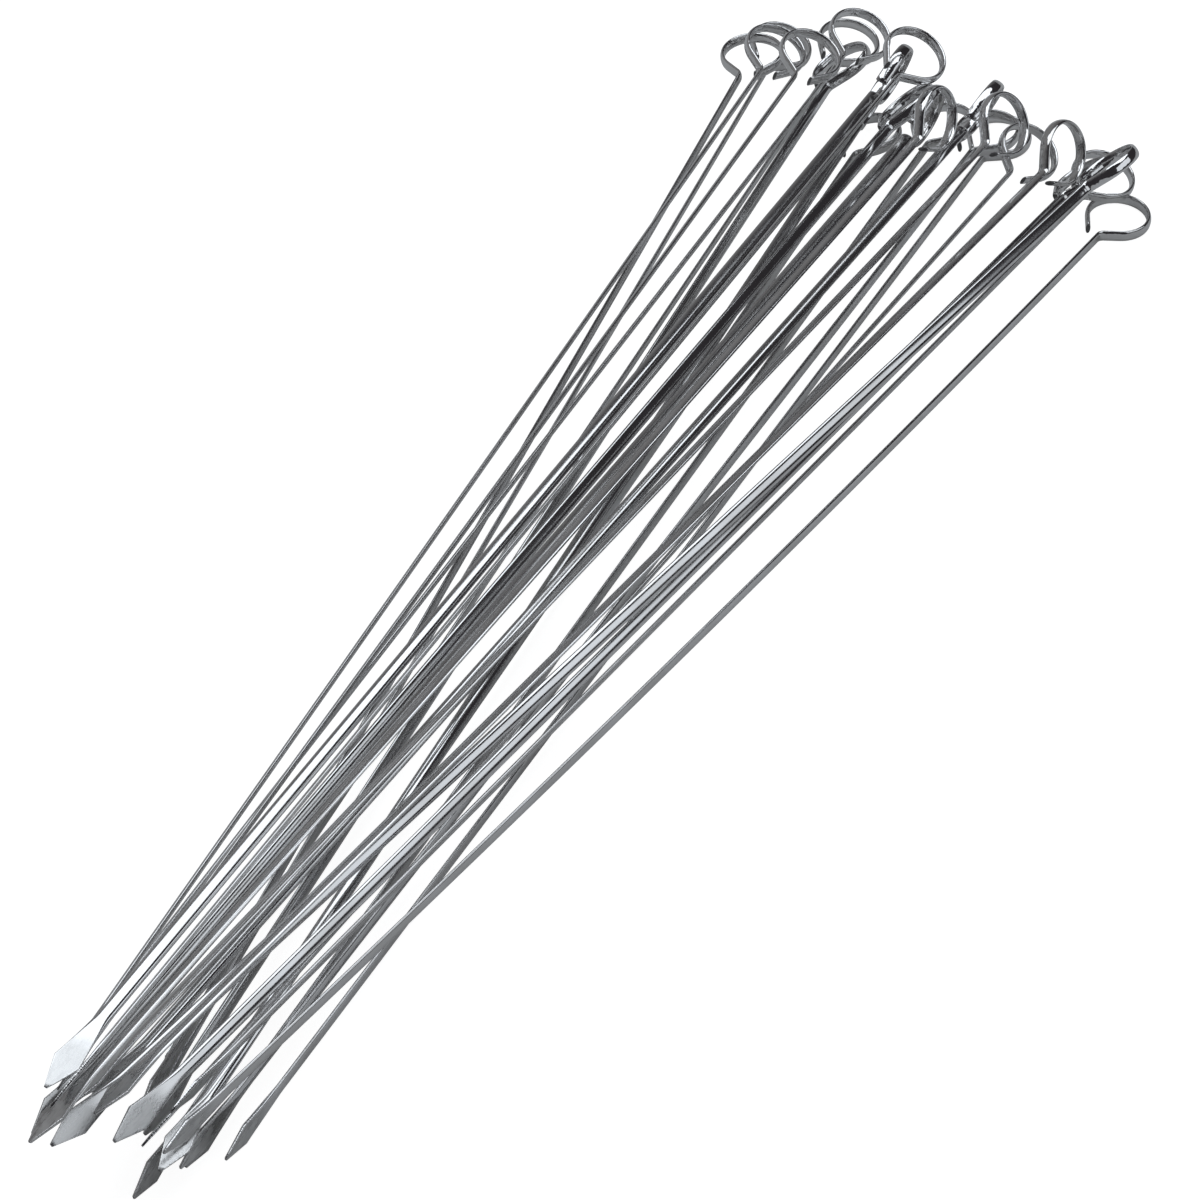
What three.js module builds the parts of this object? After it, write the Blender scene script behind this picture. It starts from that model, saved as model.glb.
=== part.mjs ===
// A loose bundle of flat stainless-steel skewers with ring handles.
// Each skewer is one length of flat bar: a pressed spear blade, a long straight shank, and an open eye
// bent from the same bar. Millimetres, +Z up, +X toward the eyes, resting on the plane z = 0.

import * as THREE from "three";

// ---- driving dimensions of one skewer ----

const BAR_WIDTH = 3.8;
const BAR_THICKNESS = 1.5;
const SHANK_LENGTH = 450; // blade tip to neck

const EYE_RADIUS = 9.5; // centreline of the round part of the eye
const EYE_OFFSET = 11.5; // neck to eye centre, along the shank
const EYE_SWEEP = THREE.MathUtils.degToRad(268);
const EYE_STEPS = 16;
const FREE_END_LENGTH = 6.5; // straight stretch after the round part
const NECK_BEND_RADIUS = 2.4;
const NECK_STEPS = 3;

const BLADE_WIDTH = 7.2; // across the shoulders
const BLADE_THICKNESS = 1.0;
const POINT_LENGTH = 9; // tip to shoulders
const FLARE_LENGTH = 17; // shoulders back to the plain bar
const FLARE_HOLLOW = 0.6; // how far the flare stays inside a straight taper, half way along it
const TIP_WIDTH = 0.9;
const TIP_THICKNESS = 0.6;

// ---- how the bundle is laid ----

const GAP = 0.35; // clear space kept between one skewer and the next
const CELL = 1; // grid of the height map that the skewers are laid on
const SAMPLE_STEP = 1.5;
const MAX_SLOPE = 0.08;
const SLOPE_ROUNDS = 40;

// Where each skewer lies: the neck's place [along, across] the bundle, how far across its blade tip is,
// the roll in degrees about the shank, and for a bent one the bow at mid length. Roll 0 lays the bar flat
// with the eye rising first; roll 90 stands it on edge with the eye flat on the table, bent toward -Y.
// The order is the order of laying, lowest first.
const LAYING = [
  { neck: [244, 68], tip: 1, roll: 100 },
  { neck: [222, 58], tip: -9, roll: 55 },
  { neck: [230, 5], tip: -31, roll: 90 },
  { neck: [206, 38], tip: -19, roll: 76 },
  { neck: [222, 21], tip: -24, roll: 82 },
  { neck: [229, 84], tip: -7, roll: 104 },
  { neck: [219, 4], tip: -26, roll: 84 },
  { neck: [213, 85], tip: -11, roll: 265 },
  { neck: [226, 55], tip: 16, roll: 290 },
  { neck: [209, 39], tip: -25, roll: 200 },
  { neck: [215, -12], tip: -19, roll: 300 },
  { neck: [215, -44], tip: -25, roll: 90, bow: 2 },
  { neck: [214, 78], tip: 11, roll: 290 },
  { neck: [216, 6], tip: -1, roll: 200 },
  { neck: [223, -34], tip: -22, roll: 104 },
  { neck: [207, -35], tip: -17, roll: 50 },
  { neck: [198, -46], tip: -3, roll: 45 },
  { neck: [208, 21], tip: 0, roll: 190 },
  { neck: [208, -6], tip: -3, roll: 325 },
  { neck: [194, 20], tip: -3, roll: 45 },
  { neck: [190, 8], tip: -6, roll: 340 },
  { neck: [201, 58], tip: -3, roll: 290 },
  { neck: [200, 29], tip: -3, roll: 196 },
  { neck: [207, -27], tip: -12, roll: 335 },
  { neck: [195, 19], tip: -9, roll: 115 },
];

// ---- the bar's outline ----

// Crowned flat section with half width and half thickness 1, anticlockwise.
const SECTION = [
  [1, -0.45],
  [1, 0.45],
  [0.72, 1],
  [-0.72, 1],
  [-1, 0.45],
  [-1, -0.45],
  [-0.72, -1],
  [0.72, -1],
];

// Walks along the bent bar in its own plane and notes each station: place, direction, width, thickness.
function barStations(bow) {
  const stations = [];
  const walker = { x: -SHANK_LENGTH, z: 0, angle: 0 };

  const note = (width = BAR_WIDTH, thickness = BAR_THICKNESS) => {
    stations.push({ ...walker, width, thickness });
  };
  const goStraight = (length) => {
    walker.x += length * Math.cos(walker.angle);
    walker.z += length * Math.sin(walker.angle);
  };
  const turn = (radius, sweep, steps) => {
    const step = sweep / steps;
    const chord = 2 * radius * Math.sin(Math.abs(step) / 2);
    for (let i = 0; i < steps; i += 1) {
      walker.angle += step / 2;
      goStraight(chord);
      walker.angle += step / 2;
      note();
    }
  };

  // Blade: tip, shoulders, then a flare that runs into the plain bar.
  note(TIP_WIDTH, TIP_THICKNESS);
  goStraight(POINT_LENGTH);
  note(BLADE_WIDTH, BLADE_THICKNESS);
  goStraight(FLARE_LENGTH / 2);
  note((BLADE_WIDTH + BAR_WIDTH) / 2 - FLARE_HOLLOW, (BLADE_THICKNESS + BAR_THICKNESS) / 2);
  goStraight(FLARE_LENGTH / 2);
  note();

  // Shank, up to the start of the neck bend.
  const neckAngle = Math.asin(EYE_RADIUS / EYE_OFFSET);
  const neckTangent = NECK_BEND_RADIUS * Math.tan(neckAngle / 2);
  const plainLength = SHANK_LENGTH - POINT_LENGTH - FLARE_LENGTH - neckTangent;
  const spans = bow === 0 ? 1 : 6;
  for (let i = 1; i <= spans; i += 1) {
    goStraight(plainLength / spans);
    const u = i / spans;
    stations.push({ ...walker, z: 4 * bow * u * (1 - u), width: BAR_WIDTH, thickness: BAR_THICKNESS });
  }

  // Neck bend, lead-in tangent to the eye, round part, straight free end.
  turn(NECK_BEND_RADIUS, neckAngle, NECK_STEPS);
  const leadIn = Math.sqrt(EYE_OFFSET ** 2 - EYE_RADIUS ** 2) - neckTangent;
  goStraight(leadIn);
  note();
  turn(EYE_RADIUS, -EYE_SWEEP, EYE_STEPS);
  goStraight(FREE_END_LENGTH);
  note();
  return stations;
}

// Point of the section at a station. The width lies along Y, the thickness in the plane of the bend.
function sectionPoint(station, [across, through]) {
  const lift = (through * station.thickness) / 2;
  return new THREE.Vector3(
    station.x - lift * Math.sin(station.angle),
    (across * station.width) / 2,
    station.z + lift * Math.cos(station.angle),
  );
}

// A straight extrusion of the section, one step for each pair of stations, bent onto them.
function skewerGeometry(stations) {
  const outline = new THREE.Shape(SECTION.map(([x, y]) => new THREE.Vector2(x, y)));
  const steps = stations.length - 1;
  const geometry = new THREE.ExtrudeGeometry(outline, { depth: steps, steps, bevelEnabled: false });
  const position = geometry.getAttribute("position");
  for (let i = 0; i < position.count; i += 1) {
    const station = stations[Math.round(position.getZ(i))];
    const point = sectionPoint(station, [position.getX(i), position.getY(i)]);
    position.setXYZ(i, point.x, point.y, point.z);
  }
  geometry.computeVertexNormals();
  return geometry;
}

// ---- laying one skewer on those already down ----

// Closely spaced points over the skin of a skewer, for the height map.
function skinPoints(stations) {
  const points = [];
  const outline = [...SECTION, [0, 1], [0, -1]];
  for (let i = 1; i < stations.length; i += 1) {
    const [from, to] = [stations[i - 1], stations[i]];
    const count = Math.max(1, Math.ceil(Math.hypot(to.x - from.x, to.z - from.z) / SAMPLE_STEP));
    for (const corner of outline) {
      const start = sectionPoint(from, corner);
      const end = sectionPoint(to, corner);
      for (let k = 0; k <= count; k += 1) points.push(start.clone().lerp(end, k / count));
    }
  }
  return points;
}

const heightMap = new Map();
const cellKey = (x, y) => `${Math.round(x / CELL)},${Math.round(y / CELL)}`;

function surfaceHeight(point) {
  return heightMap.get(cellKey(point.x, point.y)) ?? 0;
}

function stampSurface(point) {
  for (const dx of [-CELL, 0, CELL]) {
    for (const dy of [-CELL, 0, CELL]) {
      const key = cellKey(point.x + dx, point.y + dy);
      heightMap.set(key, Math.max(heightMap.get(key) ?? 0, point.z + GAP));
    }
  }
}

// Lowest rest of a straight bar on the bumps under it: the line over all of them that is lowest at
// the bar's middle. Each bump is { along, height }, with along measured from the middle.
function restingLine(bumps) {
  const heightAt = (slope) => Math.max(...bumps.map((bump) => bump.height - slope * bump.along));
  let [low, high] = [-MAX_SLOPE, MAX_SLOPE];
  for (let i = 0; i < SLOPE_ROUNDS; i += 1) {
    const third = (high - low) / 3;
    if (heightAt(low + third) < heightAt(high - third)) high -= third;
    else low += third;
  }
  const slope = (low + high) / 2;
  return { slope, height: heightAt(slope) };
}

function laySkewer(mesh, laying, stations) {
  const [along, across] = laying.neck;
  const roll = THREE.MathUtils.degToRad(laying.roll);
  const heading = Math.asin((across - laying.tip) / SHANK_LENGTH);
  const run = new THREE.Vector3(Math.cos(heading), Math.sin(heading), 0);
  const middle = new THREE.Vector3(along, across, 0).addScaledVector(run, -SHANK_LENGTH / 2);

  const place = (height, slope) => {
    mesh.rotation.set(roll, -Math.atan(slope), heading, "ZYX");
    mesh.position.set(along, across, height);
    mesh.updateMatrixWorld(true);
  };
  const skin = skinPoints(stations);
  const worldSkin = () => skin.map((point) => mesh.localToWorld(point.clone()));

  place(0, 0);
  const bumps = worldSkin().map((point) => ({
    along: point.clone().sub(middle).dot(run),
    height: surfaceHeight(point) - point.z,
  }));
  const rest = restingLine(bumps);
  place(rest.height + (rest.slope * SHANK_LENGTH) / 2, rest.slope);
  worldSkin().forEach(stampSurface);
}

// ---- the bundle ----

const polishedSteel = () =>
  new THREE.MeshStandardMaterial({ color: 0xb4b4b8, roughness: 0.22, metalness: 1.0 });

const bundle = new THREE.Group();
bundle.name = "skewer_bundle";

LAYING.forEach((laying, index) => {
  const stations = barStations(laying.bow ?? 0);
  const skewer = new THREE.Mesh(skewerGeometry(stations), polishedSteel());
  skewer.name = `skewer_${String(index + 1).padStart(2, "0")}`;
  bundle.add(skewer);
  laySkewer(skewer, laying, stations);
});

// The origin goes to the middle of the footprint, on the surface the bundle lies on.
const box = new THREE.Box3().setFromObject(bundle, true);
const middle = box.getCenter(new THREE.Vector3());
bundle.position.set(-middle.x, -middle.y, -box.min.z);

export default bundle;
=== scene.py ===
import math
import random

import bmesh
import bpy
import numpy as np
from mathutils import Matrix, Vector


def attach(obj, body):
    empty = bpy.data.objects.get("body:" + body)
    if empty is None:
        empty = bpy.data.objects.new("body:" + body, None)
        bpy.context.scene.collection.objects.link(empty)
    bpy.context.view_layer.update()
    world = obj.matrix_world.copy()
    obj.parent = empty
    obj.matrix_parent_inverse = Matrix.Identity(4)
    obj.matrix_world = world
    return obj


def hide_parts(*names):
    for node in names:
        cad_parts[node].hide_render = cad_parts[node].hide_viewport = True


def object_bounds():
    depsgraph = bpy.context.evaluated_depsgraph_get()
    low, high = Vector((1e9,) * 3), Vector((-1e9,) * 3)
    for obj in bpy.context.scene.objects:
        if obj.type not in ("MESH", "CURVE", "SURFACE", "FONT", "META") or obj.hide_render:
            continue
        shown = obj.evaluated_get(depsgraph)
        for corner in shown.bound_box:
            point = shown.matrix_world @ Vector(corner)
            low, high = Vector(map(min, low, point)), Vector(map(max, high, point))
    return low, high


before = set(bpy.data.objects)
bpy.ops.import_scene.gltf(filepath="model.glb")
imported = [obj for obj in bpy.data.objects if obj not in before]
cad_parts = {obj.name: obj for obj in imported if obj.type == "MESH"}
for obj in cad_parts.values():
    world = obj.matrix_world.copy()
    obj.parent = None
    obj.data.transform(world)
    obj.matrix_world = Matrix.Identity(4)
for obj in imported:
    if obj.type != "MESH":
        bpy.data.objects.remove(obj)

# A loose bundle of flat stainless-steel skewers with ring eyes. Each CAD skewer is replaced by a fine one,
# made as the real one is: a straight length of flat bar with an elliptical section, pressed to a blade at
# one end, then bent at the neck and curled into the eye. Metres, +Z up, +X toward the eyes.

CAD_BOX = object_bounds()
MM = 0.001

# ---- one skewer, straight ----

BAR_WIDTH = 3.8 * MM
BAR_THICKNESS = 1.5 * MM
SHANK_LENGTH = 450 * MM  # blade tip to neck
BLADE_WIDTH = 7.2 * MM
BLADE_THICKNESS = 1.0 * MM
POINT_LENGTH = 9 * MM  # tip to shoulders
FLARE_LENGTH = 17 * MM  # shoulders back to the plain bar
TIP_WIDTH = 0.9 * MM
TIP_THICKNESS = 0.6 * MM

EYE_RADIUS = 9.5 * MM
EYE_OFFSET = 11.5 * MM  # neck to eye centre
EYE_SWEEP = math.radians(268)
FREE_END_LENGTH = 6.5 * MM
NECK_RADIUS = 2.4 * MM

NECK_SWEEP = math.asin(EYE_RADIUS / EYE_OFFSET)
NECK_TANGENT = NECK_RADIUS * math.tan(NECK_SWEEP / 2)
NECK_START = SHANK_LENGTH - NECK_TANGENT
NECK_END = NECK_START + NECK_RADIUS * NECK_SWEEP
EYE_START = NECK_END + math.sqrt(EYE_OFFSET**2 - EYE_RADIUS**2) - NECK_TANGENT
EYE_END = EYE_START + EYE_RADIUS * EYE_SWEEP
BAR_LENGTH = EYE_END + FREE_END_LENGTH
BLADE_LENGTH = POINT_LENGTH + FLARE_LENGTH

# ---- how finely it is made ----

SECTION_POINTS = 32
BAR_CROWN = 2.0  # squareness of the drawn section: 2 is an ellipse
BLADE_CROWN = 9.0
FLARE_CURVE = 1.63  # how hollow the flare is, seen on the flat
SHOULDER = 0.15 * MM  # half the rounding of the blade's shoulders
RIM = 0.1 * MM  # rounding of the two cut ends
POINT_STEP = 2 * MM
FLARE_STEP = 1 * MM
SHANK_STEP = 8 * MM
END_STEP = 1.3 * MM  # in the straight stretches on both sides of the eye
BEND_STEP = math.radians(3.5)
STEP_SLACK = 0.001  # keeps a span that divides evenly from getting one step more
SIDE_BLEND = 0.1  # how gradually a thin side runs into a broad face
TWIST = math.radians(2.2)  # most that a shank winds either way along its length


def smoothstep(low, high, x):
    t = min(max((x - low) / (high - low), 0.0), 1.0)
    return t * t * (3 - 2 * t)


def between(low, high, t):
    return low + (high - low) * t


def bar_size(along):
    """Half width, half thickness and squareness of the straight bar at a place along it."""
    if along <= POINT_LENGTH:
        t = along / POINT_LENGTH
        half_width = between(TIP_WIDTH, BLADE_WIDTH, t) / 2
        return half_width, between(TIP_THICKNESS, BLADE_THICKNESS, t) / 2, BLADE_CROWN
    t = min((along - POINT_LENGTH) / FLARE_LENGTH, 1.0)
    half_width = between(BAR_WIDTH, BLADE_WIDTH, (1 - t) ** FLARE_CURVE) / 2
    rise = smoothstep(0, 1, t)
    half_thickness = between(BLADE_THICKNESS, BAR_THICKNESS, rise) / 2
    return half_width, half_thickness, between(BLADE_CROWN, BAR_CROWN, rise)


def ring_places():
    """Where along the straight bar its rings stand: close together where it is shaped or bent."""
    places = [0.0, RIM]
    spans = [
        (POINT_LENGTH - SHOULDER, POINT_STEP),
        (POINT_LENGTH + SHOULDER, SHOULDER),
        (BLADE_LENGTH, FLARE_STEP),
        (NECK_START, SHANK_STEP),
        (NECK_END, NECK_RADIUS * BEND_STEP),
        (EYE_START, END_STEP),
        (EYE_END, EYE_RADIUS * BEND_STEP),
        (BAR_LENGTH - RIM, END_STEP),
        (BAR_LENGTH, RIM),
    ]
    for end, step in spans:
        start = places[-1]
        count = math.ceil((end - start) / step - STEP_SLACK)
        places += [between(start, end, i / count) for i in range(1, count + 1)]
    return places


def shape_ring(ring, along, layers):
    """Puts a ring's vertices on the outline that the bar has there, and notes their place on the bar."""
    half_width, half_thickness, squareness = bar_size(along)
    if along in (0.0, BAR_LENGTH):
        half_width -= RIM
        half_thickness -= RIM
    for i, vert in enumerate(ring):
        angle = 2 * math.pi * i / len(ring)
        c, s = math.cos(angle), math.sin(angle)
        across = math.copysign(abs(c) ** (2 / squareness), c) * half_width
        through = math.copysign(abs(s) ** (2 / squareness), s) * half_thickness
        vert.co = Vector((along, across, through))
        vert[layers["side"]] = smoothstep(-SIDE_BLEND, SIDE_BLEND, abs(c) - abs(s))
        vert[layers["place"]] = vert.co.copy()


def extrude_ring(bm, ring, edges):
    """Grows the bar's open end by one ring, and returns the new ring in the old one's order."""
    grown = bmesh.ops.extrude_edge_only(bm, edges=edges)["geom"]
    new = set(grown)
    ring = [next(e.other_vert(v) for e in v.link_edges if e.other_vert(v) in new) for v in ring]
    ends = set(ring)
    edges = [g for g in grown if isinstance(g, bmesh.types.BMEdge) and set(g.verts) <= ends]
    return ring, edges


def bar_layers(bm):
    """Whether each vertex is on a thin side, and its place on the straight bar."""
    kinds = {"side": bm.verts.layers.float, "place": bm.verts.layers.float_vector}
    return {name: kind.get("bar_" + name) or kind.new("bar_" + name) for name, kind in kinds.items()}


def straight_bar():
    bm = bmesh.new()
    layers = bar_layers(bm)
    ring = bmesh.ops.create_circle(bm, cap_ends=True, segments=SECTION_POINTS, radius=BAR_WIDTH)["verts"]
    edges = list(bm.edges)
    places = ring_places()
    shape_ring(ring, places[0], layers)
    for place in places[1:]:
        ring, edges = extrude_ring(bm, ring, edges)
        shape_ring(ring, place, layers)
    bmesh.ops.edgeloop_fill(bm, edges=edges)
    bmesh.ops.recalc_face_normals(bm, faces=bm.faces)
    for face in bm.faces:
        face.smooth = True
        face.material_index = 1 if len(face.verts) > 4 else 0
    return bm


# ---- bending it ----


def bend(bm, layers, start, radius, sweep):
    """Wraps the bar past start round an axis across it. What lies past the sweep goes on straight."""
    pivot = Vector((start, 0, math.copysign(radius, sweep)))
    for vert in bm.verts:
        past = min(vert[layers["place"]].x - start, radius * abs(sweep))
        if past > 0:
            turn = Matrix.Rotation(-math.copysign(past / radius, sweep), 3, "Y")
            vert.co.x -= past
            vert.co = pivot + turn @ (vert.co - pivot)


def wind(bm, layers, twist, bow):
    """A slight twist and bow of the shank between the flare and the neck, as a loose bar has."""
    for vert in bm.verts:
        t = (vert[layers["place"]].x - BLADE_LENGTH) / (NECK_START - BLADE_LENGTH)
        if 0 < t < 1:
            vert.co = Matrix.Rotation(twist * math.sin(2 * math.pi * t), 3, "X") @ vert.co
            vert.co.z += 4 * bow * t * (1 - t)


# ---- where each one lies, read from the CAD ----

TIP_REACH = 2 * TIP_WIDTH  # the corners of the tip lie this close together
SHOULDER_REACH = 1.1 * POINT_LENGTH  # the shoulders lie between the point's length and this from the tip
PAST_NECK = SHANK_LENGTH + 0.6 * BAR_THICKNESS
MIDDLE_START, MIDDLE_END = 0.3 * SHANK_LENGTH, 0.7 * SHANK_LENGTH


def read_place(node):
    """The matrix that lays a straight skewer's own frame on a CAD skewer, and that skewer's bow."""
    points = np.unique(np.round([v.co for v in node.data.vertices], 7), axis=0)
    end = points[points[:, 0].argmin()]
    tip = points[np.linalg.norm(points - end, axis=1) < TIP_REACH].mean(axis=0)
    reach = np.linalg.norm(points - tip, axis=1)
    shoulders = points[(reach > POINT_LENGTH) & (reach < SHOULDER_REACH)]
    run = shoulders.mean(axis=0) - tip
    run /= np.linalg.norm(run)
    across = np.linalg.svd(shoulders - shoulders.mean(axis=0))[2][0]
    rising = np.cross(run, across)
    rising /= np.linalg.norm(rising)

    neck = tip + SHANK_LENGTH * run
    along = (points - tip) @ run
    past_neck = points[along > PAST_NECK]
    nearest = past_neck[np.linalg.norm(past_neck - neck, axis=1).argmin()]
    if (nearest - neck) @ rising < 0:
        rising = -rising
    across = np.cross(rising, run)

    middle = points[(along > MIDDLE_START) & (along < MIDDLE_END)]
    bow = ((middle - tip) @ rising).max() - BAR_THICKNESS / 2 if len(middle) else 0.0
    place = Matrix((run, across, rising)).transposed().to_4x4()
    place.translation = Vector(tip)
    return place, bow


def make_skewer(name, node, blank, steels):
    """One finished skewer, bent from a copy of the straight blank and laid where its CAD node lies."""
    place, bow = read_place(node)
    chance = random.Random(name)
    bm = blank.copy()
    layers = bar_layers(bm)
    wind(bm, layers, chance.uniform(-TWIST, TWIST), bow)
    bend(bm, layers, EYE_START, EYE_RADIUS, -EYE_SWEEP)
    bend(bm, layers, NECK_START, NECK_RADIUS, NECK_SWEEP)
    bmesh.ops.transform(bm, matrix=place, verts=bm.verts)
    mesh = bpy.data.meshes.new(name)
    bm.to_mesh(mesh)
    bm.free()
    for steel in steels:
        mesh.materials.append(steel)
    skewer = bpy.data.objects.new(name, mesh)
    bpy.context.scene.collection.objects.link(skewer)
    return skewer


# ---- steel ----

# Grains for each metre along, across and through the bar, and the noise's detail.
DRAWN_LINES = ((7, 800, 800), 1)
BANDS = ((14, 420, 420), 2)
PATCHES = ((48, 48, 48), 2)
GRAIN = ((1500, 1500, 1500), 3)
MOTTLE = ((260, 900, 900), 4)
DENTS = ((330, 330, 330), 2)
SHEARED = ((2600, 700, 400), 2)
TORN = ((2500, 1500, 5000), 3)

BRIGHT_COLOURS = ((0.67, 0.665, 0.66, 1), (0.77, 0.77, 0.775, 1))
DULL_COLOURS = ((0.45, 0.45, 0.45, 1), (0.68, 0.68, 0.675, 1))
CUT_COLOURS = ((0.10, 0.095, 0.09, 1), (0.30, 0.30, 0.31, 1))
BLADE_DULLNESS = 0.85
POLISHED = (0.08, 0.15)  # roughness, from smooth to coarse
SATIN = (0.22, 0.36)
CUT = (0.38, 0.6)

DRAWN_DEPTH = 0.02 * MM
DRAWN_STRENGTH = 0.15
GRAIN_DEPTH = 0.045 * MM
SHEARED_DEPTH = 0.1 * MM
DENT_DEPTH = 0.22 * MM
TORN_DEPTH = 0.08 * MM


class Shader:
    """A material's nodes, made and joined in one call each."""

    def __init__(self, name):
        self.material = bpy.data.materials.new(name)
        self.material.use_nodes = True
        self.tree = self.material.node_tree
        self.surface = self.tree.nodes["Principled BSDF"]

    def node(self, kind, inputs=(), **settings):
        made = self.tree.nodes.new("ShaderNode" + kind)
        for key, value in settings.items():
            setattr(made, key, value)
        for key, value in dict(inputs).items():
            self.put(made.inputs[key], value)
        return made

    def put(self, socket, value):
        if isinstance(value, bpy.types.NodeSocket):
            self.tree.links.new(value, socket)
        else:
            socket.default_value = value

    def math(self, operation, a, b):
        return self.node("Math", {0: a, 1: b}, operation=operation).outputs[0]

    def ramp(self, value, low, high, to_low=0.0, to_high=1.0):
        """A smooth run from to_low at low to to_high at high."""
        inputs = {"Value": value, "From Min": low, "From Max": high, "To Min": to_low, "To Max": to_high}
        return self.node("MapRange", inputs, interpolation_type="SMOOTHSTEP").outputs[0]

    def noise(self, vector, scale, detail):
        """Noise with its own scale, in grains for each metre, on each axis of the bar."""
        mapped = self.node("Mapping", {"Vector": vector, "Scale": scale}).outputs[0]
        return self.node("TexNoise", {"Vector": mapped, "Scale": 1.0, "Detail": detail}).outputs[0]

    def bump(self, height, distance, strength=1.0, normal=None):
        inputs = {"Height": height, "Distance": distance, "Strength": strength}
        if normal is not None:
            inputs["Normal"] = normal
        return self.node("Bump", inputs).outputs[0]

    def mix(self, factor, first, second):
        made = self.node("Mix", data_type="RGBA")
        for key, value in (("Factor_Float", factor), ("A_Color", first), ("B_Color", second)):
            socket = next(s for s in made.inputs if s.identifier == key)
            self.put(socket, value)
        return next(s for s in made.outputs if s.identifier == "Result_Color")


def skewer_steel():
    """Polished drawn bar with faint lengthwise lines, a satin pressed blade and worked bends."""
    look = Shader("polished_bar_steel")
    place = look.node("Attribute", attribute_name="bar_place").outputs["Vector"]
    side = look.node("Attribute", attribute_name="bar_side").outputs["Fac"]
    along = look.node("SeparateXYZ", {0: place}).outputs[0]
    where = look.node("TexCoord").outputs["Object"]

    drawn = look.noise(place, *DRAWN_LINES)
    bands = look.noise(place, *BANDS)
    patches = look.noise(where, *PATCHES)
    grain = look.noise(place, *GRAIN)
    mottle = look.noise(place, *MOTTLE)
    dents = look.noise(place, *DENTS)
    sheared = look.noise(place, *SHEARED)

    blade = look.ramp(along, BLADE_LENGTH - 5 * MM, POINT_LENGTH + 4 * MM)
    worked = look.ramp(along, NECK_START - 4 * MM, NECK_END)
    face = look.math("SUBTRACT", 1.0, side)
    blade_face = look.math("MULTIPLY", blade, face)
    blade_side = look.math("MULTIPLY", blade, side)

    bright = look.mix(look.ramp(patches, 0.35, 0.65), *BRIGHT_COLOURS)
    dull = look.mix(look.ramp(mottle, 0.3, 0.7), *DULL_COLOURS)
    colour = look.mix(look.math("MULTIPLY", blade_face, BLADE_DULLNESS), bright, dull)
    look.put(look.surface.inputs["Base Color"], colour)

    polish = look.ramp(bands, 0.3, 0.7, *POLISHED)
    satin = look.ramp(mottle, 0.35, 0.65, *SATIN)
    rough = look.node("MapRange", {"Value": blade_face, "To Min": polish, "To Max": satin}).outputs[0]
    look.put(look.surface.inputs["Roughness"], rough)
    look.put(look.surface.inputs["Metallic"], 1.0)

    normal = look.bump(drawn, DRAWN_DEPTH, DRAWN_STRENGTH)
    normal = look.bump(look.math("MULTIPLY", grain, blade_face), GRAIN_DEPTH, normal=normal)
    normal = look.bump(look.math("MULTIPLY", sheared, blade_side), SHEARED_DEPTH, normal=normal)
    normal = look.bump(look.math("MULTIPLY", dents, worked), DENT_DEPTH, normal=normal)
    look.put(look.surface.inputs["Normal"], normal)
    return look.material


def cut_steel():
    """The square-cut faces at the tip and at the free end of the eye."""
    look = Shader("cut_end_steel")
    place = look.node("Attribute", attribute_name="bar_place").outputs["Vector"]
    torn = look.noise(place, *TORN)
    colour = look.mix(torn, *CUT_COLOURS)
    look.put(look.surface.inputs["Base Color"], colour)
    look.put(look.surface.inputs["Metallic"], 1.0)
    look.put(look.surface.inputs["Roughness"], look.ramp(torn, 0.3, 0.7, *CUT))
    look.put(look.surface.inputs["Normal"], look.bump(torn, TORN_DEPTH))
    return look.material


# ---- the studio ----

FLOOR_SIZE = 8.0
FLOOR_DROP = 0.2 * MM  # how far the floor lies under the lowest skewer
FLOOR_REFLECTED = (0.5, 0.5, 0.5, 1)
FLOOR_SEEN = (0.3, 0.3, 0.3, 1)
FLOOR_GLOW = (0.05, 0.93)  # as the steel sees it, and as the camera does
WHITE = (1, 1, 1, 1)

# Where the room's tone starts and ends across it, and the tones there.
ROOM_RIGHT = (0.1, (0.03, 0.028, 0.031, 1))
ROOM_LEFT = (0.75, (0.22, 0.22, 0.225, 1))

PANEL_COLOUR = (0.90, 0.95, 1.0)
# For each panel its direction from the bundle, distance, width and height, and power in watts.
PANELS = {
    "overhead_panel": ((0.26, 0.21, 1.56), 1.59, (2.1, 1.43), 15.9),
    "side_panel": ((0.2, -1.2, 0.75), 1.43, (1.5, 0.8), 3.4),
}

CAMERA_AIM = Vector((-2.92 * MM, -21.19 * MM, 0.0))  # on the floor, near the middle of the bundle
CAMERA_DISTANCE = 1.19
CAMERA_AZIMUTH = math.radians(33)
CAMERA_ELEVATION = math.radians(45)
CAMERA_SENSOR = 36  # millimetres, as the lens
CAMERA_LENS = 126.3
CAMERA_REACH = 50


def lay_floor():
    """A pale floor that glows for the camera, so that it looks white, and is darker in reflections."""
    bm = bmesh.new()
    bmesh.ops.create_grid(bm, x_segments=1, y_segments=1, size=FLOOR_SIZE / 2)
    mesh = bpy.data.meshes.new("floor")
    bm.to_mesh(mesh)
    bm.free()
    floor = bpy.data.objects.new("floor", mesh)
    floor.location.z = CAD_BOX[0].z - FLOOR_DROP
    bpy.context.scene.collection.objects.link(floor)
    look = Shader("pale_floor")
    seen = look.node("LightPath").outputs["Is Camera Ray"]
    look.put(look.surface.inputs["Base Color"], look.mix(seen, FLOOR_REFLECTED, FLOOR_SEEN))
    look.put(look.surface.inputs["Roughness"], 1.0)
    look.put(look.surface.inputs["Emission Color"], WHITE)
    look.put(look.surface.inputs["Emission Strength"], look.ramp(seen, 0.0, 1.0, *FLOOR_GLOW))
    mesh.materials.append(look.material)


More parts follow.
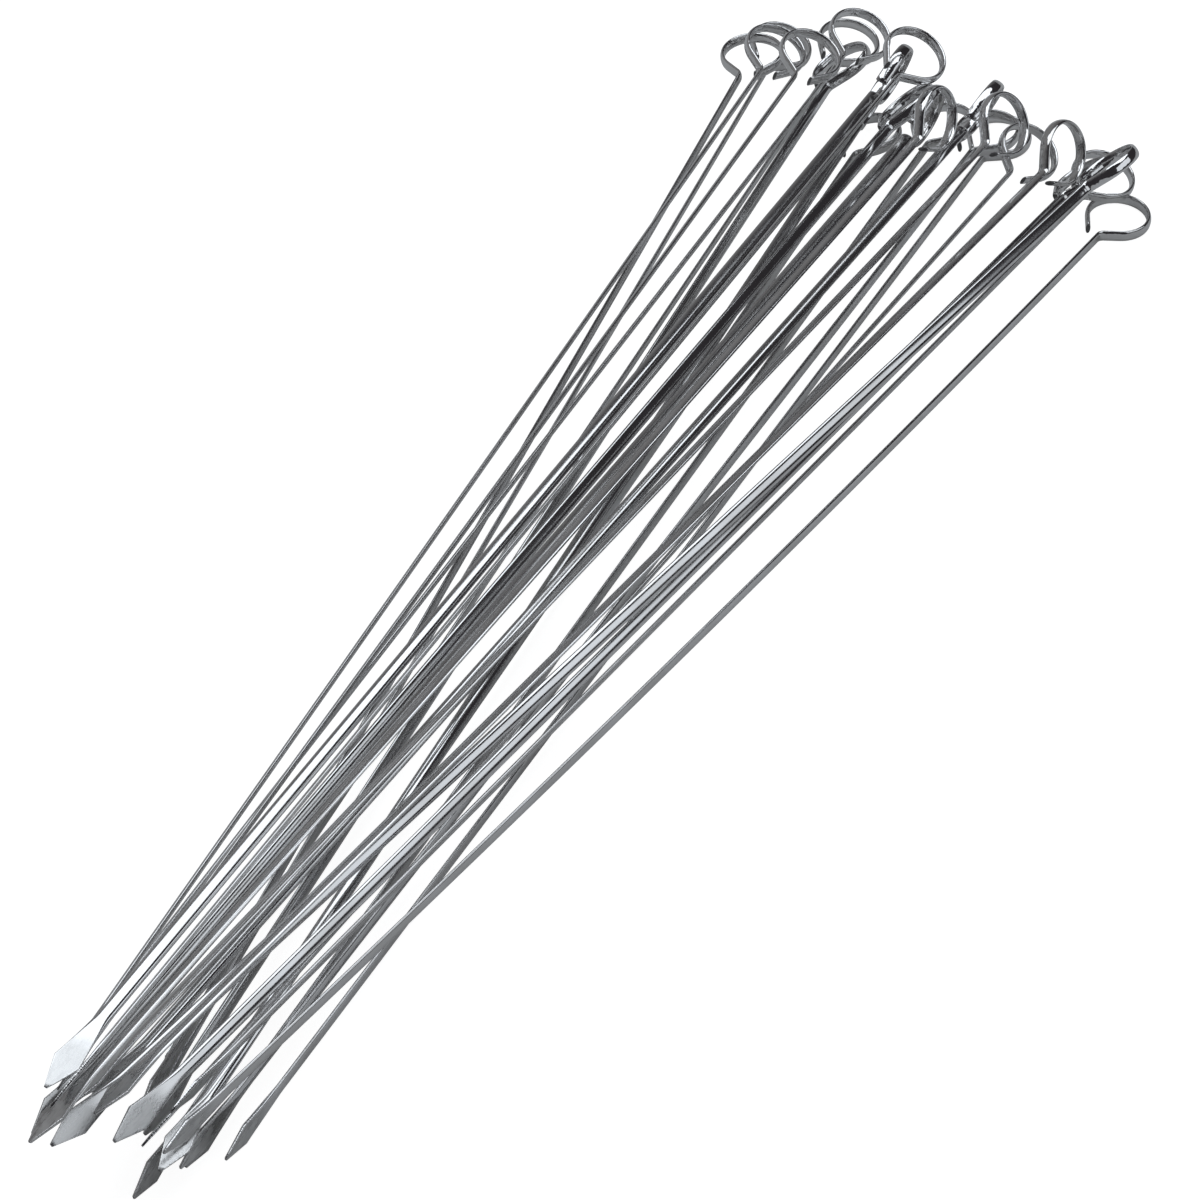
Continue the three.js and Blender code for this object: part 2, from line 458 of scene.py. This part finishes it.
def hang_panel(name, direction, distance, size, power):
    """A soft light panel that faces the bundle from a direction."""
    light = bpy.data.lights.new(name, "AREA")
    light.shape = "RECTANGLE"
    light.size, light.size_y = size
    light.energy = power
    light.color = PANEL_COLOUR
    panel = bpy.data.objects.new(name, light)
    way = Vector(direction).normalized()
    panel.location = way * distance
    panel.rotation_euler = way.to_track_quat("Z", "Y").to_euler()
    bpy.context.scene.collection.objects.link(panel)


def light_room():
    """A dark room, paler on the left, that is white where it is seen past the floor, and two soft panels."""
    world = bpy.data.worlds.new("studio")
    world.use_nodes = True
    tree = world.node_tree
    where = tree.nodes.new("ShaderNodeTexCoord")
    split = tree.nodes.new("ShaderNodeSeparateXYZ")
    room = tree.nodes.new("ShaderNodeValToRGB")
    tree.links.new(where.outputs["Generated"], split.inputs[0])
    tree.links.new(split.outputs["Y"], room.inputs[0])
    for stop, (place, tone) in zip(room.color_ramp.elements, (ROOM_RIGHT, ROOM_LEFT)):
        stop.position = place
        stop.color = tone

    reflected = tree.nodes["Background"]
    tree.links.new(room.outputs[0], reflected.inputs["Color"])
    backdrop = tree.nodes.new("ShaderNodeBackground")
    backdrop.inputs["Color"].default_value = WHITE
    path = tree.nodes.new("ShaderNodeLightPath")
    pick = tree.nodes.new("ShaderNodeMixShader")
    tree.links.new(path.outputs["Is Camera Ray"], pick.inputs[0])
    tree.links.new(reflected.outputs[0], pick.inputs[1])
    tree.links.new(backdrop.outputs[0], pick.inputs[2])
    tree.links.new(pick.outputs[0], tree.nodes["World Output"].inputs["Surface"])
    bpy.context.scene.world = world
    bpy.context.scene.view_settings.view_transform = "Standard"

    for name, settings in PANELS.items():
        hang_panel(name, *settings)


def place_camera():
    """Looks down at 45 degrees from the blade end, with the bundle running up to the right."""
    away = Vector((-math.cos(CAMERA_AZIMUTH), -math.sin(CAMERA_AZIMUTH), 0)) * math.cos(CAMERA_ELEVATION)
    away.z = math.sin(CAMERA_ELEVATION)
    data = bpy.data.cameras.new("camera")
    data.sensor_width = CAMERA_SENSOR
    data.lens = CAMERA_LENS
    data.clip_end = CAMERA_REACH
    camera = bpy.data.objects.new("camera", data)
    camera.location = CAMERA_AIM + away * CAMERA_DISTANCE
    camera.rotation_euler = away.to_track_quat("Z", "Y").to_euler()
    bpy.context.scene.collection.objects.link(camera)
    bpy.context.scene.camera = camera


# ---- the bundle ----

steels = [skewer_steel(), cut_steel()]
blank = straight_bar()
for node_name in sorted(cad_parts):
    piece = make_skewer(node_name + "_bar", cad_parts[node_name], blank, steels)
    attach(piece, node_name)
    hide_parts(node_name)
blank.free()

lay_floor()
light_room()
place_camera()
